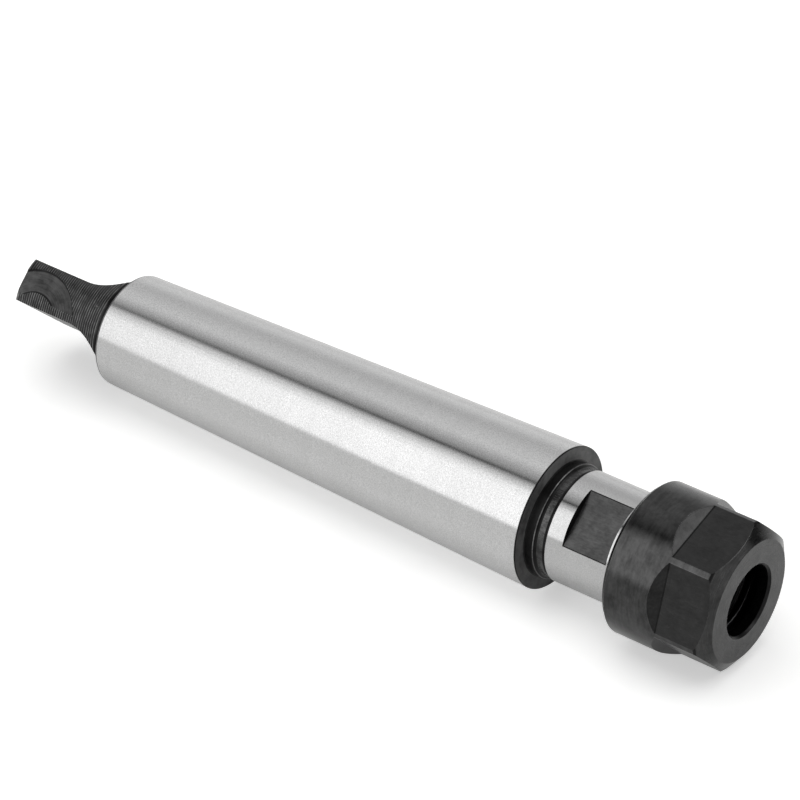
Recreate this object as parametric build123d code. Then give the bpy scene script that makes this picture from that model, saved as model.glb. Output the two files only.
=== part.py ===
from build123d import *
from math import cos, radians, sin, tan
import os

# Collet chuck holder with a No. 2 Morse taper shank and a small hexagon clamping nut.
# Millimetres. The axis lies along X: the tang points to -X and the nut's mouth to +X.
# The origin is the centre of the taper's large end. Roll angles turn about +X from +Y to +Z.

# Taper and tang
TAPER_BIG_R = 9.015          # large end, 5 mm in front of the 17.78 mm gauge line
TAPER_SLOPE = 0.024975       # radius lost per millimetre, the No. 2 Morse taper
SMALL_END_X = -65.5          # where the ground taper stops
SMALL_END_CHAMFER = 0.22
SHOULDER_X = -65.8           # black shoulder face behind the small end
COLLAR_FACE_X = 0.2          # front of the narrow black rim that ends the ground taper
COLLAR_CHAMFER = 0.06
TANG_TIP_X = -80.0
TANG_R = 6.75                # turned before the two flats are milled
TANG_TIP_ROUND = 0.25
TANG_THICK = 5.72
TANG_OFF_CENTRE = 0.18       # the milled tang sits this far toward its upper flat
TANG_FLAT_END_X = -71.07     # where the milled flats begin to run out
TANG_RUNOUT_R = 6.0
TANG_EDGE_ROLL = 136.0       # the middle of one rounded edge; the flats face 90 degrees away

# Ring-shaped skim that a cup wheel left on one rounded edge of the tang
SKIM_X = -76.58
SKIM_SIDE = 4.65             # the ring's centre lies this far below the edge's middle
SKIM_OUTER_R = 6.57
SKIM_INNER_R = 3.45
SKIM_PLANE_R = 6.42          # distance of the skimmed plane from the axis
SKIM_TILT = -3.0             # roll of that plane away from the middle of the edge

# Collar, groove and ground body in front of the taper
BOSS_R = 7.25
BOSS_END_X = 1.45
BOSS_CHAMFER = 0.16
NECK_R = 6.85
NECK_X = 1.6
BODY_REAR_X = 2.85
BODY_R = 7.0
BODY_CHAMFER = 0.1
BODY_END_X = 14.0

# Two milled wrench flats with a shoulder at each end
FLAT_REAR_X = 5.15
FLAT_FRONT_X = 11.22
FLAT_ACROSS = 11.9
FLAT_ROLL = 130.6

# Threaded nose, M14 x 0.75, drawn at its crest
THREAD_MAJOR_R = 6.96
THREAD_RELIEF_R = 6.45
THREAD_RELIEF_W = 1.2
NOSE_END_X = 22.4
NOSE_CHAMFER = 0.4

# Collet socket: 8 degrees a side, then a straight bore for long tools
SEAT_MOUTH_R = 5.65
SEAT_HALF_ANGLE = 8.0
SEAT_LEN = 13.4
BORE_LEN = 24.0
DRILL_POINT_HALF = 59.0

# Clamping nut
NUT_REAR_X = 12.41
NUT_FACE_X = 26.5
NUT_R = 9.5
NUT_REAR_CHAMFER = 0.5
HEX_STEP_X = 19.8            # the hexagon's flats are milled from here to the face
HEX_SHOULDER_LEAN = 48.0     # the shoulder behind each flat leans back from square
HEX_ACROSS = 16.8
HEX_CORNER_ROLL = 133.8
FACE_R = 7.62                # flat ring on the face, inside the front chamfer
FACE_CHAMFER_LEN = 1.32
MOUTH_R = 4.42
MOUTH_CHAMFER = 0.28
WEB_LEN = 1.5                # straight mouth in front of the collet's nose cone
NOSE_CONE_HALF = 30.0        # the collet's nose bears on this cone
NOSE_CONE_LEN = 1.1
NOSE_RING_R = 5.5            # recess for the ring at the collet's nose
LIP_X = 22.95                # rear face of the lip that pulls the collet out
LIP_LEN = 0.6
LIP_R = 5.35
LIP_OFFSET = 0.45            # the lip's circle is turned off centre
LIP_ROLL = 27.0
NOSE_GAP = 0.1               # room in front of the nose
CAVITY_R = 5.95
THREAD_FIT = 0.05            # radial room between the nose's crest and the nut
BODY_FIT = 0.08              # radial room where the nut passes the ground body
SKIRT_LEN = 2.0              # plain counterbore at the nut's rear


def rolled(shape, roll):
    """Turn a shape about the X axis; its +Z side comes to face the given roll angle."""
    return Rot(roll - 90.0, 0, 0) * shape


def turned(points):
    """Solid of revolution about X from (x, radius) points."""
    face = make_face(Polyline(*points, close=True).edges())
    return revolve(face, axis=Axis.X, revolution_arc=360)


def box_between(x0, x1, half_width, z0, z1):
    """Block from x0 to x1 and z0 to z1, centred across Y."""
    block = Box(x1 - x0, 2 * half_width, z1 - z0)
    return Pos((x0 + x1) / 2, 0, (z0 + z1) / 2) * block


def shank_blank():
    """Tang stock, ground taper, black collar, groove, body and threaded nose in one turning."""
    small_r = TAPER_BIG_R + TAPER_SLOPE * SMALL_END_X
    relief_x = BODY_END_X + THREAD_RELIEF_W
    points = [
        (TANG_TIP_X, 0),
        (TANG_TIP_X, TANG_R),
        (SHOULDER_X, TANG_R),
        (SHOULDER_X, small_r - SMALL_END_CHAMFER),
        (SMALL_END_X, small_r),
        (0, TAPER_BIG_R),
        (COLLAR_FACE_X - COLLAR_CHAMFER, TAPER_BIG_R),
        (COLLAR_FACE_X, TAPER_BIG_R - COLLAR_CHAMFER),
        (COLLAR_FACE_X, BOSS_R),
        (BOSS_END_X - BOSS_CHAMFER, BOSS_R),
        (BOSS_END_X, BOSS_R - BOSS_CHAMFER),
        (NECK_X, NECK_R),
        (BODY_REAR_X, NECK_R),
        (BODY_REAR_X, BODY_R - BODY_CHAMFER),
        (BODY_REAR_X + BODY_CHAMFER, BODY_R),
        (BODY_END_X, BODY_R),
        (BODY_END_X, THREAD_RELIEF_R),
        (relief_x, THREAD_RELIEF_R),
        (relief_x + THREAD_MAJOR_R - THREAD_RELIEF_R, THREAD_MAJOR_R),
        (NOSE_END_X - NOSE_CHAMFER, THREAD_MAJOR_R),
        (NOSE_END_X, THREAD_MAJOR_R - NOSE_CHAMFER),
        (NOSE_END_X, 0),
    ]
    blank = turned(points)
    tip = blank.edges().filter_by(GeomType.CIRCLE).sort_by(Axis.X)[0]
    return fillet(tip, TANG_TIP_ROUND)


def tang_flat_cutter(flat_z):
    """Stock milled off one side of the tang, with a round run-out that ends at the shoulder."""
    reach = TAPER_BIG_R + 1
    past_tip = TANG_TIP_X - 1
    flat = box_between(past_tip, TANG_FLAT_END_X, reach, flat_z, reach)
    wheel = Rot(90, 0, 0) * Cylinder(TANG_RUNOUT_R, 2 * reach)
    runout = Pos(TANG_FLAT_END_X, 0, flat_z + TANG_RUNOUT_R) * wheel
    to_shoulder = box_between(past_tip, SHOULDER_X, reach, flat_z, reach)
    return flat + (runout & to_shoulder)


def tang_skim():
    """Shallow ring-shaped cut on the rounded edge of the tang."""
    depth = TANG_R
    ring = Cylinder(SKIM_OUTER_R, depth) - Cylinder(SKIM_INNER_R, depth + 1)
    ring = Pos(SKIM_X, -SKIM_SIDE, SKIM_PLANE_R + depth / 2) * ring
    return Rot(SKIM_TILT, 0, 0) * ring


def wrench_flat_cutter():
    """Pocket for an open spanner, cut square across the body."""
    return box_between(FLAT_REAR_X, FLAT_FRONT_X, BODY_R + 1, FLAT_ACROSS / 2, BODY_R + 1)


def collet_socket():
    """Tapered collet seat with the straight bore and drill point behind it."""
    seat_end_x = NOSE_END_X - SEAT_LEN
    bore_r = SEAT_MOUTH_R - SEAT_LEN * tan(radians(SEAT_HALF_ANGLE))
    bore_end_x = seat_end_x - BORE_LEN
    point_x = bore_end_x - bore_r / tan(radians(DRILL_POINT_HALF))
    return turned([
        (point_x, 0),
        (bore_end_x, bore_r),
        (seat_end_x, bore_r),
        (NOSE_END_X, SEAT_MOUTH_R),
        (NOSE_END_X + 1, SEAT_MOUTH_R),
        (NOSE_END_X + 1, 0),
    ])


def holder_body():
    """The whole holder, one hardened and ground steel piece from the tang to the nose."""
    body = shank_blank()
    half = TANG_THICK / 2
    body -= rolled(tang_flat_cutter(half + TANG_OFF_CENTRE), TANG_EDGE_ROLL - 90)
    body -= rolled(tang_flat_cutter(half - TANG_OFF_CENTRE), TANG_EDGE_ROLL + 90)
    body -= rolled(tang_skim(), TANG_EDGE_ROLL)
    pocket = wrench_flat_cutter()
    body -= rolled(pocket, FLAT_ROLL)
    body -= rolled(pocket, FLAT_ROLL + 180)
    body -= collet_socket()
    return body


def nut_blank():
    """Turned outside of the nut: plain rear cylinder and the wide front chamfer."""
    return turned([
        (NUT_REAR_X, 0),
        (NUT_REAR_X, NUT_R - NUT_REAR_CHAMFER),
        (NUT_REAR_X + NUT_REAR_CHAMFER, NUT_R),
        (NUT_FACE_X - FACE_CHAMFER_LEN, NUT_R),
        (NUT_FACE_X, FACE_R),
        (NUT_FACE_X, 0),
    ])


def nut_cavity():
    """Skirt, threaded bore, collet cavity, nose cone and mouth, all about the axis."""
    thread_r = THREAD_MAJOR_R + THREAD_FIT
    skirt_r = BODY_R + BODY_FIT
    skirt_end_x = NUT_REAR_X + SKIRT_LEN
    thread_end_x = NOSE_END_X + NOSE_GAP
    cone_end_x = NUT_FACE_X - WEB_LEN
    cone_x = cone_end_x - NOSE_CONE_LEN
    cone_r = MOUTH_R + NOSE_CONE_LEN * tan(radians(NOSE_CONE_HALF))
    return turned([
        (NUT_REAR_X - 1, 0),
        (NUT_REAR_X - 1, skirt_r),
        (skirt_end_x, skirt_r),
        (skirt_end_x + skirt_r - thread_r, thread_r),
        (thread_end_x, thread_r),
        (thread_end_x, CAVITY_R),
        (LIP_X, CAVITY_R),
        (LIP_X, LIP_R - LIP_OFFSET),
        (LIP_X + LIP_LEN, LIP_R - LIP_OFFSET),
        (LIP_X + LIP_LEN, NOSE_RING_R),
        (cone_x, NOSE_RING_R),
        (cone_x, cone_r),
        (cone_end_x, MOUTH_R),
        (NUT_FACE_X - MOUTH_CHAMFER, MOUTH_R),
        (NUT_FACE_X, MOUTH_R + MOUTH_CHAMFER),
        (NUT_FACE_X + 1, MOUTH_R + MOUTH_CHAMFER),
        (NUT_FACE_X + 1, 0),
    ])


def lip_circle():
    """Eccentric circle bored through the extraction lip."""
    side = Pos(0, LIP_OFFSET * cos(radians(LIP_ROLL)), LIP_OFFSET * sin(radians(LIP_ROLL)))
    disc = Rot(0, 90, 0) * Cylinder(LIP_R, LIP_LEN)
    return side * Pos(LIP_X + LIP_LEN / 2, 0, 0) * disc


def hexagon_side_cutter():
    """Stock milled off one side of the nut, with a shoulder that leans back to the cylinder."""
    flat_z = HEX_ACROSS / 2
    top_z = NUT_R + 1
    top_x = HEX_STEP_X - (top_z - flat_z) * tan(radians(HEX_SHOULDER_LEAN))
    past_face = NUT_FACE_X + 1
    outline = Polyline(
        (HEX_STEP_X, -NUT_R, flat_z),
        (past_face, -NUT_R, flat_z),
        (past_face, -NUT_R, top_z),
        (top_x, -NUT_R, top_z),
        close=True,
    )
    return extrude(make_face(outline.edges()), amount=2 * NUT_R, dir=(0, 1, 0))


def clamping_nut():
    """Hexagon clamping nut, one hardened piece with the extraction lip turned inside it."""
    nut = nut_blank()
    beyond_flat = hexagon_side_cutter()
    for side in range(6):
        nut -= rolled(beyond_flat, HEX_CORNER_ROLL + 30 + 60 * side)
    nut -= nut_cavity()
    nut -= lip_circle()
    return nut


os.makedirs("parts", exist_ok=True)
export_step(holder_body(), "parts/holder_body.step")
export_step(clamping_nut(), "parts/clamping_nut.step")
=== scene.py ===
from math import cos, pi, radians, sin, tan

import bmesh
import bpy
from mathutils import Matrix, Vector


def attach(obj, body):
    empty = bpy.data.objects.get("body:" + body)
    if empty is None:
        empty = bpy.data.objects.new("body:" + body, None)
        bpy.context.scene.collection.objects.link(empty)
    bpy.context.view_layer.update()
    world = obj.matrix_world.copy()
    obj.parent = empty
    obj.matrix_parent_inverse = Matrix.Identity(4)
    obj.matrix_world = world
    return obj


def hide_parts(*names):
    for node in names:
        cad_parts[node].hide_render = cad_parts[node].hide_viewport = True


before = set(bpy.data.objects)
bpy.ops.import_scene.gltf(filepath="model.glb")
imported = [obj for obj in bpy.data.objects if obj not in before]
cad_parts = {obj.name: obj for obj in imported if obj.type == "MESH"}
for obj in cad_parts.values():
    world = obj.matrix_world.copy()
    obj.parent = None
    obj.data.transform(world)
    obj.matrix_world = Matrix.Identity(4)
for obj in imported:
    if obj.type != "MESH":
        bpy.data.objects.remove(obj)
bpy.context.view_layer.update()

# Holder, the turning.
# One bar of case-hardened steel. It is turned from the tang to the nose, blackened in a hot
# salt bath, and then ground bright on the taper and the short body.
MM = 0.001
TURN_STEPS = 320

TANG_TIP_X = -80.0
TANG_R = 6.75
TIP_ROUND = 0.25
TIP_BAND = 0.15              # a smooth band behind the rounding, rubbed and lightened like it, partly as painted highlight
FEED_PITCH = 0.34            # turning marks on the tang, one ridge for each turn of the bar
FEED_DEPTH = 0.045
RIDGE_WEAR = 0.95
RIDGE_START_X = TANG_TIP_X + TIP_ROUND + TIP_BAND
EDGE_ROUND = 0.15            # tumbling and handling round the sharp edges
BARE_STEEL = "#8A8A8A"
GROOVE_START_X = -66.5       # the ridges end in a smooth groove beside the shoulder, darkened with painted shade
GROOVE_R = TANG_R - 0.05
SHOULDER_X = -65.8
SMALL_END_X = -65.5
SMALL_END_R = 7.379
SMALL_END_CHAMFER = 0.22
BIG_END_R = 9.012            # a hair inside the solid's 9.015
COLLAR_FACE_X = 0.2
COLLAR_CHAMFER = 0.06
COLLAR_FACE_R = 8.955
BOSS_R = 7.25
BOSS_END_X = 1.45
BOSS_CHAMFER = 0.16
BOSS_RIM_X = BOSS_END_X - 0.12    # the boss's rim, rubbed and lightened as a painted highlight, runs from here over its corner
BOSS_CORNER = (BOSS_END_X - 0.02, BOSS_R - 0.07)
FILLET = 0.12                # the hollow corner where the boss meets the collar, darkened with painted shade
NECK_R = 6.85
NECK_X = 1.6
NECK_FILLET = 0.1
BODY_REAR_X = 2.85
BODY_R = 7.0
BODY_END_X = 14.0
RELIEF_X = BODY_REAR_X - 0.35     # a groove beside the ground body starts here, darkened with painted shade
CHAMFER = 0.1                # on the ends of the ground body, and the relief beside it
THREAD_CREST_R = 6.96
THREAD_ROOT_R = 6.52
THREAD_RELIEF = 0.07         # how far the groove behind the thread lies below its root
THREAD_START_X = 15.2
NOSE_END_X = 22.4
NOSE_CHAMFER = 0.15
SEAT_MOUTH_R = 5.65
SEAT_END_X = 9.0
BORE_R = 3.767
BORE_END_X = -15.0
DRILL_POINT_X = -17.26


def linear(colour):
    """An sRGB hex colour as linear red, green, blue and alpha."""
    parts = [int(colour[at:at + 2], 16) / 255 for at in (1, 3, 5)]
    return [p / 12.92 if p <= 0.04045 else ((p + 0.055) / 1.055) ** 2.4 for p in parts] + [1.0]


def put(tree, kind, inputs=None, **properties):
    """Adds a shader node with its properties, its input values and the sockets that feed it."""
    made = tree.nodes.new("ShaderNode" + kind)
    for name, value in properties.items():
        setattr(made, name, value)
    for key, value in (inputs or {}).items():
        if isinstance(value, bpy.types.NodeSocket):
            tree.links.new(value, made.inputs[key])
        else:
            made.inputs[key].default_value = value
    return made.outputs


def new_material(name):
    """An empty node material."""
    made = bpy.data.materials.new(name)
    made.use_nodes = True
    made.node_tree.nodes.clear()
    return made


def pattern(tree, cell, detail=2.0, roughness=0.55):
    """Noise with cells of the given size in mm along X, Y and Z of the piece."""
    where = put(tree, "TexCoord")["Object"]
    scale = [1 / (size * MM) for size in cell]
    placed = put(tree, "Mapping", {"Vector": where, "Scale": scale})["Vector"]
    inputs = {"Vector": placed, "Scale": 1.0, "Detail": detail, "Roughness": roughness}
    return put(tree, "TexNoise", inputs)["Fac"]


def lathe_pattern(tree, cell, detail=2.0, roughness=0.55):
    """Noise that runs round the bar as a lathe's marks do; the cell is its size in mm along the
    axis, across the radius and round the bar. Marks under about 0.1 mm are drawn wider, to show."""
    place = put(tree, "TexCoord")["Object"]
    along = put(tree, "VectorMath", {0: place, 1: (1 / (cell[0] * MM), 0.0, 0.0)},
                operation="MULTIPLY")["Vector"]
    spoke = put(tree, "VectorMath", {0: place, 1: (0.0, 1.0, 1.0)}, operation="MULTIPLY")["Vector"]
    radius = put(tree, "VectorMath", {0: spoke}, operation="LENGTH")["Value"]
    way = put(tree, "VectorMath", {0: spoke}, operation="NORMALIZE")["Vector"]
    turns = BODY_R / cell[2]
    placed = put(tree, "VectorMath", {0: way, 1: (0.0, turns, turns), 2: along},
                 operation="MULTIPLY_ADD")["Vector"]
    across = put(tree, "Math", {0: radius, 1: 1 / (cell[1] * MM)}, operation="MULTIPLY")["Value"]
    inputs = {"Vector": placed, "W": across, "Scale": 1.0, "Detail": detail,
              "Roughness": roughness}
    return put(tree, "TexNoise", inputs, noise_dimensions="4D")["Fac"]


def around_axis(tree):
    """The direction round the X axis at each point, which turned and ground marks follow."""
    place = put(tree, "TexCoord")["Object"]
    return put(tree, "VectorMath", {0: (1.0, 0.0, 0.0), 1: place},
               operation="CROSS_PRODUCT")["Vector"]


def between(tree, factor, low, high, start=0.0, end=1.0):
    """Maps a factor between start and end to a value between low and high."""
    inputs = {"Value": factor, "From Min": start, "From Max": end, "To Min": low, "To Max": high}
    return put(tree, "MapRange", inputs)["Result"]


def ground_steel(name, colours):
    """Hardened tool steel, cylindrically ground. The wheel leaves short scratches round the bar,
    which stretch each reflection along it and give the bright surface a fine matt grain."""
    made = new_material(name)
    tree = made.node_tree
    # A 60-grit wheel cuts scratches about 0.05 mm wide; they are drawn wider so that they show.
    scratches = pattern(tree, (0.12, 0.17, 0.17), detail=1.5, roughness=0.5)
    bands = pattern(tree, (1.4, 30.0, 30.0), detail=1.0)
    clouds = pattern(tree, (6.0, 4.0, 4.0), detail=2.0)
    steel = put(tree, "ValToRGB", {"Fac": scratches})
    ramp = tree.nodes[-1].color_ramp
    ramp.elements[0].position, ramp.elements[0].color = 0.3, linear(colours[0])
    ramp.elements[1].position, ramp.elements[1].color = 0.7, linear(colours[1])
    shade = between(tree, bands, 0.0, 0.10, 0.35, 0.65)
    toned = put(tree, "Mix", {0: shade, 6: steel["Color"], 7: linear(colours[2])},
                data_type="RGBA")[2]
    polish = between(tree, clouds, 0.17, 0.20, 0.3, 0.7)
    grain = put(tree, "Bump", {"Height": scratches, "Strength": 1.0, "Distance": 0.0012 * MM})
    surface = put(tree, "BsdfPrincipled", {
        "Base Color": toned, "Metallic": 1.0, "Roughness": polish,
        "Anisotropic": 1.0, "Anisotropic Rotation": 0.25, "Tangent": around_axis(tree),
        "Normal": grain["Normal"]})
    put(tree, "OutputMaterial", {"Surface": surface["BSDF"]})
    return made


def black_oxide(name, colours, polish, marks, mark_depth, edge_wear=0.5, grooves=0.0,
                ridged=False):
    """Steel blackened with hot oxide: a thin, slightly glossy dark skin that keeps the marks of
    the tool below it and wears through to grey metal along the edges and on turned ridges."""
    made = new_material(name)
    tree = made.node_tree
    kind, cell = marks
    marked = kind(tree, cell, detail=3.0, roughness=0.6)
    mottle = pattern(tree, (0.9, 0.9, 0.9), detail=4.0, roughness=0.7)
    stain = pattern(tree, (3.0, 2.4, 2.4), detail=3.0)
    uneven = put(tree, "Mix", {0: 0.5, 2: mottle, 3: stain})[0]
    uneven = put(tree, "Mix", {0: 0.35, 2: uneven, 3: marked})[0]
    skin = put(tree, "Mix", {0: between(tree, uneven, 0.0, 1.0, 0.40, 0.60),
                             6: linear(colours[0]), 7: linear(colours[1])}, data_type="RGBA")[2]
    eased = put(tree, "NewGeometry")["Normal"]
    if ridged:
        # The crest of each turned ridge is rubbed bright in patches.
        where = put(tree, "SeparateXYZ", {0: put(tree, "TexCoord")["Object"]})["X"]
        from_tip = put(tree, "Math", {0: where, 1: -RIDGE_START_X * MM},
                       operation="ADD")["Value"]
        drift = between(tree, pattern(tree, (2.5, 1.2, 1.2)), 0.0, 0.2, 0.3, 0.7)
        turns = put(tree, "Math", {0: from_tip, 1: 1 / (FEED_PITCH * MM), 2: drift},
                    operation="MULTIPLY_ADD")["Value"]
        hollow = put(tree, "Math", {0: turns, 1: 0.5}, operation="PINGPONG")["Value"]
        patchy = between(tree, lathe_pattern(tree, (0.7, 9.0, 1.0), detail=3.0), 0.3, 1.0,
                         0.36, 0.60)
        bare = put(tree, "Math", {0: between(tree, hollow, RIDGE_WEAR, 0.0, 0.02, 0.24),
                                  1: patchy}, operation="MULTIPLY")["Value"]
    else:
        # An edge, where the rounded normal turns away from the true one, is worn.
        true = eased
        eased = put(tree, "Bevel", {"Radius": EDGE_ROUND * MM}, samples=6)["Normal"]
        straight = put(tree, "VectorMath", {0: eased, 1: true}, operation="DOT_PRODUCT")["Value"]
        rubbed = between(tree, straight, edge_wear, 0.0, 0.965, 0.998)
        broken = between(tree, pattern(tree, (0.4, 0.4, 0.4), detail=3.0), 0.25, 1.0, 0.38, 0.62)
        bare = put(tree, "Math", {0: rubbed, 1: broken}, operation="MULTIPLY")["Value"]
    colour = put(tree, "Mix", {0: bare, 6: skin, 7: linear(BARE_STEEL)}, data_type="RGBA")[2]
    gloss = between(tree, marked, polish[0], polish[1], 0.3, 0.7)
    relief = put(tree, "Bump", {"Height": marked, "Strength": 1.0, "Distance": mark_depth * MM,
                                "Normal": eased})
    surface = put(tree, "BsdfPrincipled", {
        "Base Color": colour, "Metallic": 1.0, "Roughness": gloss, "Normal": relief["Normal"],
        "Anisotropic": grooves, "Anisotropic Rotation": 0.25, "Tangent": around_axis(tree)})
    put(tree, "OutputMaterial", {"Surface": surface["BSDF"]})
    return made


GROUND = ground_steel("ground_tool_steel", ("#B4B4B4", "#CECECE", "#ACACAC"))
FINE_GROUND = ground_steel("fine_ground_tool_steel", ("#AEAEAE", "#C2C2C2", "#A6A6A6"))
TURNED_BLACK = black_oxide("black_oxide_turned_steel", ("#464646", "#666666"), (0.44, 0.60),
                           (lathe_pattern, (0.12, 0.12, 2.5)), 0.004, edge_wear=0.2, grooves=0.8)
RIDGED_BLACK = black_oxide("black_oxide_coarse_turned_steel", ("#262626", "#363636"),
                           (0.18, 0.30), (lathe_pattern, (0.12, 0.4, 1.2)), 0.004, ridged=True)
# The darkest black oxide paints shade: grooves, hollow corners, bores, the borders of milled faces
# and dark edges get it.
SHADE_PAINTED_BLACK = black_oxide("black_oxide_painted_shade_steel", ("#1A1A1A", "#262626"), (0.28, 0.42),
                         (lathe_pattern, (0.12, 0.3, 0.9)), 0.003, edge_wear=0.0)
# A lighter rubbed black oxide: real rubbing, and also a painted highlight on rims and edges that
# catch the light.
RUBBED_HIGHLIGHT_BLACK = black_oxide("rubbed_black_oxide_painted_highlight_steel", ("#3A3A3A", "#747474"), (0.26, 0.40),
                           (pattern, (0.3, 0.3, 0.3)), 0.003, edge_wear=0.0)
SCRATCHED_BLACK = black_oxide("scratched_black_oxide_steel", ("#242424", "#565656"),
                              (0.18, 0.30), (pattern, (0.5, 0.14, 0.14)), 0.010, edge_wear=0.0)
HOLDER_FINISHES = [GROUND, TURNED_BLACK, RIDGED_BLACK, SHADE_PAINTED_BLACK, RUBBED_HIGHLIGHT_BLACK,
                   SCRATCHED_BLACK, FINE_GROUND]
BRIGHT, TURNED, RIDGED, SHADE_PAINTED, RUBBED_HIGHLIGHT, SCRATCHED, FINE = range(len(HOLDER_FINISHES))


def turn(mesh, points, finish=0):
    """Turns (x, radius) points in mm about the X axis; the new faces get the finish's number."""
    part = bmesh.new()
    line = [part.verts.new((x * MM, 0.0, r * MM)) for x, r in points]
    edges = [part.edges.new(pair) for pair in zip(line, line[1:])]
    bmesh.ops.spin(part, geom=line + edges, cent=(0, 0, 0), axis=(1, 0, 0), dvec=(0, 0, 0),
                   angle=pi / 4, steps=TURN_STEPS // 8)
    for face in part.faces:
        face.material_index = finish
    for half in (pi / 4, pi / 2, pi):
        twin = bmesh.ops.duplicate(part, geom=part.verts[:] + part.edges[:] + part.faces[:])
        bmesh.ops.rotate(part, cent=(0, 0, 0), matrix=Matrix.Rotation(half, 3, "X"),
                         verts=[v for v in twin["geom"] if isinstance(v, bmesh.types.BMVert)])
    data = bpy.data.meshes.new("turning")
    part.to_mesh(data)
    part.free()
    mesh.from_mesh(data)
    bpy.data.meshes.remove(data)


def closed(mesh):
    """Merges the seams and poles of a turning or cutter and points its faces outwards."""
    bmesh.ops.remove_doubles(mesh, verts=mesh.verts, dist=1e-4 * MM)
    bmesh.ops.recalc_face_normals(mesh, faces=mesh.faces)


def as_object(name, mesh, finishes):
    """Puts a finished bmesh into the scene as an object with its materials."""
    data = bpy.data.meshes.new(name)
    mesh.to_mesh(data)
    mesh.free()
    for finish in finishes:
        data.materials.append(finish)
    made = bpy.data.objects.new(name, data)
    bpy.context.scene.collection.objects.link(made)
    return made


turning = bmesh.new()
tip = [(TANG_TIP_X + TIP_ROUND * (1 - cos(a)), TANG_R - TIP_ROUND * (1 - sin(a)))
       for a in [radians(step) for step in range(0, 91, 30)]]
ridges = [(RIDGE_START_X + FEED_PITCH / 2 * k, TANG_R - FEED_DEPTH * (k % 2))
          for k in range(1, int(2 * (GROOVE_START_X - RIDGE_START_X) / FEED_PITCH))]
# The tip's rounding and band are rubbed and lightened, partly as painted highlight.
turn(turning, [(TANG_TIP_X, 0)] + tip + [(RIDGE_START_X, TANG_R)], RUBBED_HIGHLIGHT)
turn(turning, [(RIDGE_START_X, TANG_R)] + ridges + [(GROOVE_START_X, GROOVE_R)], RIDGED)
# The groove beside the shoulder is darkened with painted shade.
turn(turning, [(GROOVE_START_X, GROOVE_R), (SHOULDER_X, GROOVE_R),
               (SHOULDER_X, SMALL_END_R - SMALL_END_CHAMFER)], SHADE_PAINTED)
# The small end's rounded edge is rubbed and lightened as a painted highlight.
edge_width = SMALL_END_X - SHOULDER_X
edge = [(SMALL_END_X - edge_width * sin(a), SMALL_END_R - SMALL_END_CHAMFER * (1 - cos(a)))
        for a in [radians(step) for step in (90, 60, 30, 0)]]
turn(turning, edge, RUBBED_HIGHLIGHT)
turn(turning, [edge[-1], (0, BIG_END_R)], BRIGHT)
# The collar's chamfer, the hollow corner by the boss, the boss's chamfer and the neck's fillet are
# darkened with painted shade.
turn(turning, [(0, BIG_END_R), (COLLAR_FACE_X - COLLAR_CHAMFER, BIG_END_R),
               (COLLAR_FACE_X, COLLAR_FACE_R)], SHADE_PAINTED)
turn(turning, [(COLLAR_FACE_X, COLLAR_FACE_R), (COLLAR_FACE_X, BOSS_R + FILLET)], TURNED)
turn(turning, [(COLLAR_FACE_X, BOSS_R + FILLET),
               (COLLAR_FACE_X + FILLET / 3, BOSS_R + FILLET / 4),
               (COLLAR_FACE_X + FILLET, BOSS_R), (BOSS_RIM_X, BOSS_R)], SHADE_PAINTED)
# The boss's rim is lightened as a painted highlight.
turn(turning, [(BOSS_RIM_X, BOSS_R), BOSS_CORNER], RUBBED_HIGHLIGHT)
turn(turning, [BOSS_CORNER, (BOSS_END_X, BOSS_R - BOSS_CHAMFER), (NECK_X, NECK_R + 0.06),
               (NECK_X + NECK_FILLET, NECK_R)], SHADE_PAINTED)
turn(turning, [(NECK_X + NECK_FILLET, NECK_R), (RELIEF_X, NECK_R)], SCRATCHED)
# The relief beside the body is darkened with painted shade.
turn(turning, [(RELIEF_X, NECK_R), (RELIEF_X + 0.15, NECK_R - CHAMFER),
               (BODY_REAR_X, NECK_R - CHAMFER), (BODY_REAR_X, BODY_R - CHAMFER)], SHADE_PAINTED)
turn(turning, [
    (BODY_REAR_X, BODY_R - CHAMFER), (BODY_REAR_X + CHAMFER, BODY_R),
    (BODY_END_X - CHAMFER, BODY_R), (BODY_END_X, BODY_R - CHAMFER)], FINE)
turn(turning, [
    (BODY_END_X, BODY_R - CHAMFER), (BODY_END_X, THREAD_ROOT_R - THREAD_RELIEF),
    (THREAD_START_X, THREAD_ROOT_R - THREAD_RELIEF),
    (THREAD_START_X + THREAD_RELIEF, THREAD_ROOT_R),
    (NOSE_END_X - NOSE_CHAMFER, THREAD_ROOT_R), (NOSE_END_X, THREAD_ROOT_R - NOSE_CHAMFER),
    (NOSE_END_X, SEAT_MOUTH_R + NOSE_CHAMFER)], TURNED)
# The seat and the bore inside are darkened with painted shade.
turn(turning, [
    (NOSE_END_X, SEAT_MOUTH_R + NOSE_CHAMFER), (NOSE_END_X - NOSE_CHAMFER, SEAT_MOUTH_R - 0.02),
    (SEAT_END_X, BORE_R), (BORE_END_X, BORE_R), (DRILL_POINT_X, 0)], SHADE_PAINTED)
closed(turning)
holder = as_object("holder_body_turned", turning, HOLDER_FINISHES)

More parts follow.
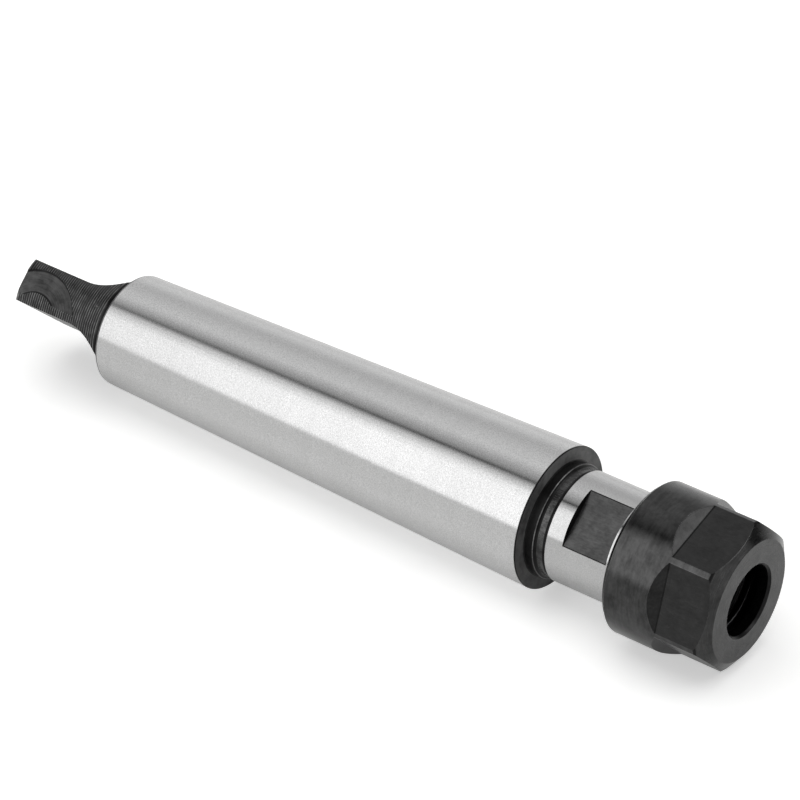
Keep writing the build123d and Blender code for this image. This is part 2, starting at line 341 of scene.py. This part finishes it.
# Holder, the milled flats.
# A round-nosed cutter mills the two sides of the tang and runs out at the shoulder, an end mill
# cuts the two wrench flats, and a cup wheel skims one rounded edge of the tang in a ring.
TANG_UPPER_Z = 3.04          # the tang sits a little off the axis, toward its upper flat
TANG_LOWER_Z = 2.68
TANG_FLAT_END_X = -71.07
RUNOUT_R = 6.0
TANG_EDGE_ROLL = 136.0
WRENCH_ROLL = 130.6
WRENCH_REAR_X = 5.15
WRENCH_FRONT_X = 11.22
WRENCH_HALF = 5.95
WRENCH_CHORD = 3.68          # half the flat's width, where it meets the round body
BORDER = 0.12                # a darker line along the border of a milled face, painted shade of a small step there
SKIM_BORDER = 0.22           # a wider one round the skimmed ring
CUT_STEP = 0.003             # how much deeper the inner cut goes than the border
SKIM_X = -76.58
SKIM_SIDE = 4.65
SKIM_OUTER_R = 6.57
SKIM_INNER_R = 3.45
SKIM_PLANE_R = 6.42
SKIM_TILT = -3.0
CLEAR = 10.0                 # a distance from the axis that is past the whole bar
OVERLAP = 0.002              # keeps a cutter's face off a face of the piece
NICK_X = -67.75              # a small dent between two ridges of the tang
NICK_ROLL = 130.5
NICK_R = 0.2
NICK_LIFT = 0.06             # how far its centre lies outside the ridges


def skim_pattern(tree, cell, detail=2.0, roughness=0.55):
    """Noise in rings about the cup wheel's axis, which the wheel's grit leaves."""
    up = radians(TANG_EDGE_ROLL + SKIM_TILT)
    aside = up - pi / 2
    centre = [SKIM_X * MM, (SKIM_PLANE_R * cos(up) - SKIM_SIDE * cos(aside)) * MM,
              (SKIM_PLANE_R * sin(up) - SKIM_SIDE * sin(aside)) * MM]
    place = put(tree, "TexCoord")["Object"]
    out = put(tree, "VectorMath", {0: place, 1: centre}, operation="DISTANCE")["Value"]
    rings = put(tree, "Math", {0: out, 1: 1 / (cell[0] * MM)}, operation="MULTIPLY")["Value"]
    placed = put(tree, "VectorMath", {0: place, 1: [1 / (cell[1] * MM)] * 3},
                 operation="MULTIPLY")["Vector"]
    inputs = {"Vector": placed, "W": rings, "Scale": 1.0, "Detail": detail,
              "Roughness": roughness}
    return put(tree, "TexNoise", inputs, noise_dimensions="4D")["Fac"]


MILLED_BLACK = black_oxide("black_oxide_milled_steel", ("#3E3E3E", "#585858"), (0.30, 0.42),
                           (pattern, (0.9, 0.25, 0.25)), 0.004, edge_wear=0.2)
SKIMMED_BLACK = black_oxide("black_oxide_skimmed_steel", ("#2C2C2C", "#4A4A4A"), (0.26, 0.40),
                            (skim_pattern, (0.16, 2.0)), 0.006, edge_wear=0.3)


def rolled(mesh, roll):
    """Turns a cutter about the X axis, so that its +Z side comes to the given roll angle."""
    bmesh.ops.rotate(mesh, verts=mesh.verts, cent=(0, 0, 0),
                     matrix=Matrix.Rotation(radians(roll - 90.0), 3, "X"))
    return mesh


def prism(outline, half_width):
    """Closed block with the given (x, z) outline in mm, centred across Y."""
    mesh = bmesh.new()
    face = mesh.faces.new([mesh.verts.new((x * MM, -half_width * MM, z * MM))
                           for x, z in outline])
    grown = bmesh.ops.extrude_face_region(mesh, geom=[face])["geom"]
    bmesh.ops.translate(mesh, vec=(0, 2 * half_width * MM, 0),
                        verts=[part for part in grown if isinstance(part, bmesh.types.BMVert)])
    closed(mesh)
    return mesh


def carve(piece, cutters):
    """Cuts closed cutters out of a piece, each face keeping the finish of what made it."""
    tools = []
    for mesh, *finishes in cutters:
        tools.append(as_object("cutter", mesh, finishes))
        step = piece.modifiers.new("cut", "BOOLEAN")
        step.operation, step.solver, step.material_mode = "DIFFERENCE", "EXACT", "TRANSFER"
        step.object = tools[-1]
    graph = bpy.context.evaluated_depsgraph_get()
    data = bpy.data.meshes.new_from_object(piece.evaluated_get(graph))
    piece.modifiers.clear()
    piece.data = data
    for tool in tools:
        bpy.data.objects.remove(tool)


def smooth_between_edges(piece, limit=28.0):
    """Shades a piece smooth, with a crisp break wherever two faces meet at a real corner."""
    mesh = bmesh.new()
    mesh.from_mesh(piece.data)
    bmesh.ops.remove_doubles(mesh, verts=mesh.verts, dist=5e-4 * MM)
    bmesh.ops.dissolve_degenerate(mesh, dist=5e-4 * MM, edges=mesh.edges)
    for face in mesh.faces:
        face.smooth = True
    for edge in mesh.edges:
        edge.smooth = edge.calc_face_angle(0.0) < radians(limit)
    mesh.to_mesh(piece.data)
    mesh.free()


def tang_flat(flat_z):
    """The milled side of the tang with its round run-out, which stops at the shoulder."""
    stop_x = SHOULDER_X - OVERLAP
    reach = stop_x - TANG_FLAT_END_X
    steps = 16
    arc = [(TANG_FLAT_END_X + reach * k / steps,
            flat_z + RUNOUT_R - (RUNOUT_R ** 2 - (reach * k / steps) ** 2) ** 0.5)
           for k in range(steps + 1)]
    return prism([(TANG_TIP_X - 1, flat_z)] + arc + [(stop_x, CLEAR), (TANG_TIP_X - 1, CLEAR)],
                 CLEAR)


def wrench_flat(margin, depth, half_width):
    """The pocket for an open spanner; the margin leaves a border round a second, inner cut."""
    return prism([(WRENCH_REAR_X + margin, WRENCH_HALF - depth),
                  (WRENCH_FRONT_X - margin, WRENCH_HALF - depth),
                  (WRENCH_FRONT_X - margin, CLEAR), (WRENCH_REAR_X + margin, CLEAR)], half_width)


def tang_skim(margin, depth):
    """The ring that the cup wheel touches, with its axis square to the skimmed plane."""
    mesh = bmesh.new()
    low, inner, outer = SKIM_PLANE_R - depth, SKIM_INNER_R + margin, SKIM_OUTER_R - margin
    corners = [(inner, low), (outer, low), (outer, CLEAR), (inner, CLEAR)]
    loop = [mesh.verts.new((r * MM, 0.0, z * MM)) for r, z in corners]
    edges = [mesh.edges.new((loop[k - 1], loop[k])) for k in range(4)]
    bmesh.ops.spin(mesh, geom=loop + edges, cent=(0, 0, 0), axis=(0, 0, 1), dvec=(0, 0, 0),
                   angle=2 * pi, steps=120, use_merge=True)
    closed(mesh)
    bmesh.ops.translate(mesh, verts=mesh.verts, vec=(SKIM_X * MM, -SKIM_SIDE * MM, 0))
    return mesh


def nick():
    """A round dent, just deeper than the ridges."""
    mesh = bmesh.new()
    bmesh.ops.create_icosphere(mesh, subdivisions=3, radius=NICK_R * MM)
    bmesh.ops.translate(mesh, verts=mesh.verts,
                        vec=(NICK_X * MM, 0, (TANG_R + NICK_LIFT) * MM))
    return mesh


carve(holder, [
    (rolled(tang_flat(TANG_UPPER_Z), TANG_EDGE_ROLL - 90), MILLED_BLACK),
    (rolled(tang_flat(TANG_LOWER_Z), TANG_EDGE_ROLL + 90), MILLED_BLACK),
    # The first cut of the skim and of each wrench flat leaves its border and walls darkened with
    # painted shade.
    (rolled(tang_skim(0, 0), TANG_EDGE_ROLL + SKIM_TILT), SHADE_PAINTED_BLACK),
    (rolled(tang_skim(SKIM_BORDER, CUT_STEP), TANG_EDGE_ROLL + SKIM_TILT), SKIMMED_BLACK),
    (rolled(wrench_flat(0, 0, CLEAR), WRENCH_ROLL), SHADE_PAINTED_BLACK),
    (rolled(wrench_flat(0, 0, CLEAR), WRENCH_ROLL + 180), SHADE_PAINTED_BLACK),
    (rolled(wrench_flat(BORDER, CUT_STEP, WRENCH_CHORD - BORDER), WRENCH_ROLL), MILLED_BLACK),
    (rolled(wrench_flat(BORDER, CUT_STEP, WRENCH_CHORD - BORDER), WRENCH_ROLL + 180),
     MILLED_BLACK),
    # The dent is lightened with the rubbed finish: a bare spot and a painted highlight in it.
    (rolled(nick(), NICK_ROLL), RUBBED_HIGHLIGHT_BLACK),
])
smooth_between_edges(holder)
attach(holder, "holder")
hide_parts("holder_body")

# Nose thread.
# The fine M14 x 0.75 thread that the nut screws onto, cut in the nose before blackening.
# One ridge winds round the nose from the relief groove to the end.
THREAD_PITCH = 0.75
THREAD_TURNS = 8
THREAD_SINK = 0.06           # how far the ridge's root reaches into the nose
ROOT_SHARE, CREST_SHARE = 0.46, 0.07    # half the ridge's width at root and crest, in pitches


def thread_ridge(name, start_x, root_r, crest_r, turns):
    """One helical ridge from its closed section; root and crest are radii in mm."""
    sink = THREAD_SINK if crest_r > root_r else -THREAD_SINK
    half_root, half_crest = ROOT_SHARE * THREAD_PITCH, CREST_SHARE * THREAD_PITCH
    section = [(-half_root, root_r - sink), (-half_root, root_r), (-half_crest, crest_r),
               (half_crest, crest_r), (half_root, root_r), (half_root, root_r - sink)]
    mesh = bmesh.new()
    face = mesh.faces.new([mesh.verts.new(((start_x + x) * MM, 0.0, r * MM))
                           for x, r in section])
    steps = 72 * turns
    bmesh.ops.spin(mesh, geom=[face] + list(face.edges) + list(face.verts), cent=(0, 0, 0),
                   axis=(1, 0, 0), dvec=(THREAD_PITCH * turns * MM / steps, 0, 0),
                   angle=2 * pi * turns, steps=steps)
    closed(mesh)
    made = as_object(name, mesh, [TURNED_BLACK])
    smooth_between_edges(made)
    return made


nose_thread = thread_ridge("nose_thread", THREAD_START_X + 0.5, THREAD_ROOT_R, THREAD_CREST_R,
                           THREAD_TURNS)
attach(nose_thread, "holder")

# Clamping nut.
# One hardened steel piece: a plain rear cylinder, a hexagon milled from the front, a wide turned
# front chamfer, and inside it the cone and the off-centre lip that hold the collet's nose.
NUT_REAR_X = 12.41
NUT_FACE_X = 26.5
NUT_R = 9.498                # a hair inside the solid's 9.5
NUT_REAR_CHAMFER = 0.5
HEX_STEP_X = 19.8
HEX_SHOULDER_LEAN = 48.0
HEX_HALF = 8.4
HEX_CORNER_ROLL = 133.8
FACE_R = 7.62
FACE_CHAMFER_LEN = 1.32
MOUTH_R = 4.42
MOUTH_CHAMFER = 0.28
WEB_END_X = 25.0
CONE_X = 23.9
CONE_R = 5.055
RING_R = 5.5
LIP_X = 22.95
LIP_FRONT_X = 23.55
LIP_R = 5.35
LIP_OFFSET = 0.45
LIP_EDGE = 0.07              # the lip's front edge is broken and rubbed by collets, and lightened as a painted highlight
LIP_ROLL = 27.0
CAVITY_R = 5.95
CAVITY_X = 22.5
BORE_FIT_R = 7.01            # clears the nose thread's crest
NUT_ROOT_R = 7.4             # root of the nut's own thread
SKIRT_R = 7.08
SKIRT_END_X = 14.41
CORNER_ROUND = 0.14          # the turned corner between cylinder and front chamfer, painted dark as a painted reflection of the dark seam
FOOT = 0.2                   # width of the painted shade along the foot of each shoulder

NUT_BLACK = black_oxide("black_oxide_tumbled_steel", ("#313131", "#494949"), (0.16, 0.24),
                        (lathe_pattern, (0.3, 0.3, 1.2)), 0.003)
# The face's finish is a lighter copy of the nut's, painted lighter to make up for the dimmer floor
# it reflects.
LIGHTENED_FACE_BLACK = black_oxide("black_oxide_faced_steel_lightened", ("#3A3A3A", "#4E4E4E"), (0.20, 0.30),
                         (lathe_pattern, (0.3, 0.2, 2.0)), 0.002, edge_wear=0.3)
CHAMFER_BLACK = black_oxide("black_oxide_chamfered_steel", ("#333333", "#444444"), (0.20, 0.30),
                            (lathe_pattern, (0.3, 0.2, 1.5)), 0.002, edge_wear=0.15)
SHOULDER_BLACK = black_oxide("black_oxide_shoulder_steel", ("#242424", "#303030"), (0.20, 0.28),
                             (pattern, (0.3, 0.3, 0.3)), 0.002, edge_wear=0.0)
FLAT_BLACK = black_oxide("black_oxide_side_milled_steel", ("#2F2F2F", "#393939"), (0.20, 0.28),
                         (pattern, (0.8, 0.25, 0.25)), 0.002, edge_wear=0.0)

NUT_FINISHES = [NUT_BLACK, SHADE_PAINTED_BLACK, CHAMFER_BLACK, LIGHTENED_FACE_BLACK]
PLAIN, NUT_SHADE_PAINTED, CHAMFERED, FACED = range(len(NUT_FINISHES))

corner_x = NUT_FACE_X - FACE_CHAMFER_LEN
front_x = corner_x + CORNER_ROUND
front_r = NUT_R - CORNER_ROUND * (NUT_R - FACE_R) / FACE_CHAMFER_LEN
nut_turning = bmesh.new()
# The rear chamfer is darkened with painted shade.
turn(nut_turning, [(NUT_REAR_X, SKIRT_R), (NUT_REAR_X, NUT_R - NUT_REAR_CHAMFER),
                   (NUT_REAR_X + NUT_REAR_CHAMFER, NUT_R)], NUT_SHADE_PAINTED)
turn(nut_turning, [(NUT_REAR_X + NUT_REAR_CHAMFER, NUT_R), (corner_x - CORNER_ROUND, NUT_R)],
     PLAIN)
# The corner is painted dark, a painted reflection along it.
turn(nut_turning, [(corner_x - CORNER_ROUND, NUT_R), (corner_x - 0.02, NUT_R - 0.04),
                   (front_x, front_r)], NUT_SHADE_PAINTED)
turn(nut_turning, [(front_x, front_r), (NUT_FACE_X, FACE_R)], CHAMFERED)
turn(nut_turning, [(NUT_FACE_X, FACE_R), (NUT_FACE_X, MOUTH_R + MOUTH_CHAMFER)], FACED)
# The inside of the nut is darkened with painted shade.
turn(nut_turning, [
    (NUT_FACE_X, MOUTH_R + MOUTH_CHAMFER), (NUT_FACE_X - MOUTH_CHAMFER, MOUTH_R),
    (WEB_END_X, MOUTH_R), (CONE_X, CONE_R), (CONE_X, RING_R), (LIP_FRONT_X, RING_R),
    (LIP_FRONT_X, LIP_R - LIP_OFFSET), (LIP_X, LIP_R - LIP_OFFSET), (LIP_X, CAVITY_R),
    (CAVITY_X, CAVITY_R), (CAVITY_X, NUT_ROOT_R), (SKIRT_END_X + 0.3, NUT_ROOT_R),
    (SKIRT_END_X, SKIRT_R), (NUT_REAR_X, SKIRT_R)], NUT_SHADE_PAINTED)
closed(nut_turning)
nut = as_object("clamping_nut_turned", nut_turning, NUT_FINISHES)


def hexagon_side():
    """What the mill takes off one side of the nut, up to a shoulder that leans back."""
    top_x = HEX_STEP_X - (CLEAR - HEX_HALF) * tan(radians(HEX_SHOULDER_LEAN))
    foot_end_x = HEX_STEP_X + FOOT
    mesh = prism([(HEX_STEP_X, HEX_HALF), (foot_end_x, HEX_HALF), (NUT_FACE_X + 1, HEX_HALF),
                  (NUT_FACE_X + 1, CLEAR), (top_x, CLEAR)], CLEAR)
    for face in mesh.faces:
        if face.normal.x < -0.3:
            face.material_index = 1
        # The foot of the shoulder gets the darkest finish, painted shade in the corner.
        elif face.normal.z < -0.9 and face.calc_center_median().x < foot_end_x * MM:
            face.material_index = 2
    return mesh


def lip_bore(start_x, end_x, flare):
    """The off-centre circle through the lip; flare widens its front end."""
    mesh = bmesh.new()
    bmesh.ops.create_cone(mesh, cap_ends=True, segments=180, radius1=LIP_R * MM,
                          radius2=(LIP_R + flare) * MM, depth=(end_x - start_x) * MM,
                          matrix=Matrix.Rotation(pi / 2, 4, "Y"))
    bmesh.ops.translate(mesh, verts=mesh.verts, vec=(
        (start_x + end_x) / 2 * MM, LIP_OFFSET * cos(radians(LIP_ROLL)) * MM,
        LIP_OFFSET * sin(radians(LIP_ROLL)) * MM))
    return mesh


carve(nut, [(rolled(hexagon_side(), HEX_CORNER_ROLL + 30 + 60 * k), FLAT_BLACK, SHOULDER_BLACK,
             SHADE_PAINTED_BLACK) for k in range(6)] + [
    # The lip's bore is darkened with painted shade.
    (lip_bore(LIP_X - OVERLAP / 2, LIP_FRONT_X + OVERLAP / 2, 0.0), SHADE_PAINTED_BLACK),
    # The lip's front edge is lightened, rubbing and a painted highlight.
    (lip_bore(LIP_FRONT_X - LIP_EDGE, LIP_FRONT_X + OVERLAP / 2, LIP_EDGE), RUBBED_HIGHLIGHT_BLACK)])
NUT_SMOOTH_LIMIT = 6.0       # keeps the shallow edge between shoulder and cylinder crisp
smooth_between_edges(nut, NUT_SMOOTH_LIMIT)
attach(nut, "nut")
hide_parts("clamping_nut")

# Nut thread.
# The nut's own thread, wound at the same pitch. It is drawn just outside the nose thread's crest,
# so that the nut turns on its joint without one ridge passing through the other.
nut_thread = thread_ridge("nut_thread", SKIRT_END_X + 0.8, NUT_ROOT_R, BORE_FIT_R, 9)
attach(nut_thread, "nut")

# Floor.
# A pale matt board that the holder lies on. It is white to the camera and keeps the soft shadow of
# the object;
# near the holder it glows less in reflections, which paints shade there, and far off it is white in
# reflections too.
FLOOR_Z = -9.5
FLOOR_GLOW = 0.50            # what the camera sees on top of the light that falls on the board
SHADED_MIRRORED_GLOW = 0.24         # the same in reflections, lower, as painted shade under the holder
FADE_FROM, FADE_TO = 0.35, 1.1    # from here to here, in metres, it turns wholly white
floor_mesh = bmesh.new()
bmesh.ops.create_circle(floor_mesh, cap_ends=True, segments=96, radius=3.0)
bmesh.ops.translate(floor_mesh, verts=floor_mesh.verts, vec=(0, 0, FLOOR_Z * MM))
board = new_material("matt_white_board")
tree = board.node_tree
rays = put(tree, "LightPath")
seen = put(tree, "Math", {0: rays["Is Camera Ray"], 1: rays["Is Glossy Ray"]}, operation="MAXIMUM")
seen = put(tree, "Math", {0: seen["Value"], 1: rays["Is Transmission Ray"]}, operation="MAXIMUM")
near = between(tree, rays["Is Camera Ray"], SHADED_MIRRORED_GLOW, FLOOR_GLOW)
place = put(tree, "TexCoord")["Object"]
far = put(tree, "VectorMath", {0: place}, operation="LENGTH")["Value"]
fade = between(tree, far, 0.0, 1.0, FADE_FROM, FADE_TO)
tone = between(tree, pattern(tree, (9.0, 9.0, 9.0)), 0.0, 1.0, 0.35, 0.65)
paper = put(tree, "Mix", {0: tone, 6: linear("#E9E9E8"), 7: linear("#EDEDEC")},
            data_type="RGBA")[2]
paper = put(tree, "Mix", {0: fade, 6: paper, 7: (0, 0, 0, 1)}, data_type="RGBA")[2]
matt = put(tree, "BsdfDiffuse", {"Color": paper})["BSDF"]
glow = put(tree, "Math", {0: seen["Value"], 1: between(tree, fade, near, 1.0)},
           operation="MULTIPLY")["Value"]
lit = put(tree, "Emission", {"Color": (1, 1, 1, 1), "Strength": glow})["Emission"]
both = put(tree, "AddShader", {0: matt, 1: lit})["Shader"]
put(tree, "OutputMaterial", {"Surface": both})
floor = as_object("floor", floor_mesh, [board])

# Studio light.
# A long half-round tent of white cloth stands over the holder, with a dark seam along its top and
# greyer cloth on the far side. Four softboxes shine through it beside the camera, one past the
# nut's end and one from above. A black flag past the nut keeps the outline of its chamfer dark.
TENT_R = 0.8
TENT_LENGTH = 3.0
TENT_FROM, TENT_TO = -20.0, 200.0
TENT_CLOTH = [(-20, 0.85), (-5, 0.9), (10, 1.0), (36, 0.68), (58, 0.85), (78, 0.95), (94, 0.55),
              (102, 0.36), (104, 0.0), (106.4, 0.0), (107.2, 0.55), (112, 0.74), (122, 0.95),
              (140, 1.0), (178, 1.0)]
LAMP_REACH = 0.7
FLAG_REACH = 0.6
FLAG_FROM_X, FLAG_TO_X = 0.15, 0.6
FLAG_FROM, FLAG_TO = -6.0, 26.0


def ring_point(roll, reach):
    """A point round the X axis, in metres."""
    return Vector((0.0, reach * cos(radians(roll)), reach * sin(radians(roll))))


tent_mesh = bmesh.new()
ends = [tent_mesh.verts.new(ring_point(TENT_FROM, TENT_R) + Vector((x, 0, 0)))
        for x in (-TENT_LENGTH / 2, TENT_LENGTH / 2)]
hem = tent_mesh.edges.new(ends)
bmesh.ops.spin(tent_mesh, geom=ends + [hem], cent=(0, 0, 0), axis=(1, 0, 0), dvec=(0, 0, 0),
               angle=radians(TENT_TO - TENT_FROM), steps=88)
cloth = new_material("white_tent_cloth")
tree = cloth.node_tree
place = put(tree, "SeparateXYZ", {0: put(tree, "TexCoord")["Object"]})
roll = put(tree, "Math", {0: place["Z"], 1: place["Y"]}, operation="ARCTAN2")["Value"]
along = between(tree, roll, 0.0, 1.0, radians(TENT_FROM), radians(TENT_TO))
wall = put(tree, "ValToRGB", {"Fac": along})["Color"]
stops = tree.nodes[-1].color_ramp.elements
while len(stops) < len(TENT_CLOTH):
    stops.new(1.0)
for stop, (angle, level) in zip(stops, TENT_CLOTH):
    stop.position = (angle - TENT_FROM) / (TENT_TO - TENT_FROM)
    stop.color = (level, level, level, 1.0)
put(tree, "OutputMaterial", {"Surface": put(tree, "Emission", {"Color": wall})["Emission"]})
tent = as_object("tent", tent_mesh, [cloth])
tent.visible_camera = tent.visible_shadow = tent.visible_diffuse = False


def softbox(name, roll_from, roll_to, start_x, end_x, level):
    """An area lamp that spans two roll angles seen from the axis; level is its radiance."""
    start, end = ring_point(roll_from, LAMP_REACH), ring_point(roll_to, LAMP_REACH)
    width = (end - start).length
    lamp = bpy.data.lights.new(name, "AREA")
    lamp.shape, lamp.size, lamp.size_y = "RECTANGLE", end_x - start_x, width
    lamp.energy = level * pi * (end_x - start_x) * width
    made = bpy.data.objects.new(name, lamp)
    bpy.context.scene.collection.objects.link(made)
    middle = (start + end) / 2
    back = middle.normalized()
    along_x = Vector((1, 0, 0))
    made.matrix_world = Matrix.Translation(middle + along_x * (start_x + end_x) / 2) @ Matrix(
        (along_x, back.cross(along_x), back)).transposed().to_4x4()
    made.visible_camera = False
    return made


flag_mesh = bmesh.new()
corners = [ring_point(angle, FLAG_REACH) + Vector((x, 0, 0))
           for x, angle in ((FLAG_FROM_X, FLAG_FROM), (FLAG_TO_X, FLAG_FROM),
                            (FLAG_TO_X, FLAG_TO), (FLAG_FROM_X, FLAG_TO))]
flag_mesh.faces.new([flag_mesh.verts.new(corner) for corner in corners])
velvet = new_material("black_velvet")
tree = velvet.node_tree
put(tree, "OutputMaterial", {"Surface": put(tree, "BsdfDiffuse", {
    "Color": linear("#0A0A0A")})["BSDF"]})
flag = as_object("flag", flag_mesh, [velvet])
flag.visible_camera = flag.visible_shadow = flag.visible_diffuse = False

for step, (rim, hem_roll, end_x) in enumerate((
        (112.0, 177.0, -0.2), (121.0, 184.0, -0.3), (128.0, 184.0, -0.34))):
    softbox("front_softbox_%d" % step, rim, hem_roll, -0.8, end_x, 0.26)
softbox("near_softbox", 118.0, 177.0, -0.34, -0.2, 0.8)
side = softbox("side_softbox", 46.0, 80.0, 0.35, 1.1, 2.9)
side.visible_diffuse = False
above = softbox("overhead_softbox", 60.0, 120.0, -0.5, 0.5, 1.6)
above.visible_glossy = False

# Air round the set: white to the camera and in reflections, and a low even light elsewhere.
AIR_LEVEL = 0.15
air = bpy.data.worlds.new("studio_air")
bpy.context.scene.world = air
air.use_nodes = True
tree = air.node_tree
tree.nodes.clear()
rays = put(tree, "LightPath")
seen = put(tree, "Math", {0: rays["Is Camera Ray"], 1: rays["Is Glossy Ray"]}, operation="MAXIMUM")
seen = put(tree, "Math", {0: seen["Value"], 1: rays["Is Transmission Ray"]}, operation="MAXIMUM")
level = between(tree, seen["Value"], AIR_LEVEL, 1.0)
put(tree, "OutputWorld", {"Surface": put(tree, "Background", {
    "Color": (1, 1, 1, 1), "Strength": level})["Background"]})

# Camera, as the photograph sees it: from the nut's side, above the axis.
CAMERA_AT = (0.18597, -0.27568, 0.24647)
CAMERA_ALONG = (-0.49730, 0.65497, -0.56895)
camera_data = bpy.data.cameras.new("camera")
camera_data.lens, camera_data.sensor_width = 158.34, 36.0
camera_data.clip_start = 0.01
camera = bpy.data.objects.new("camera", camera_data)
bpy.context.scene.collection.objects.link(camera)
camera.location = CAMERA_AT
camera.rotation_euler = Vector(CAMERA_ALONG).to_track_quat("-Z", "Y").to_euler()
bpy.context.scene.camera = camera
bpy.context.scene.view_settings.view_transform = "Standard"
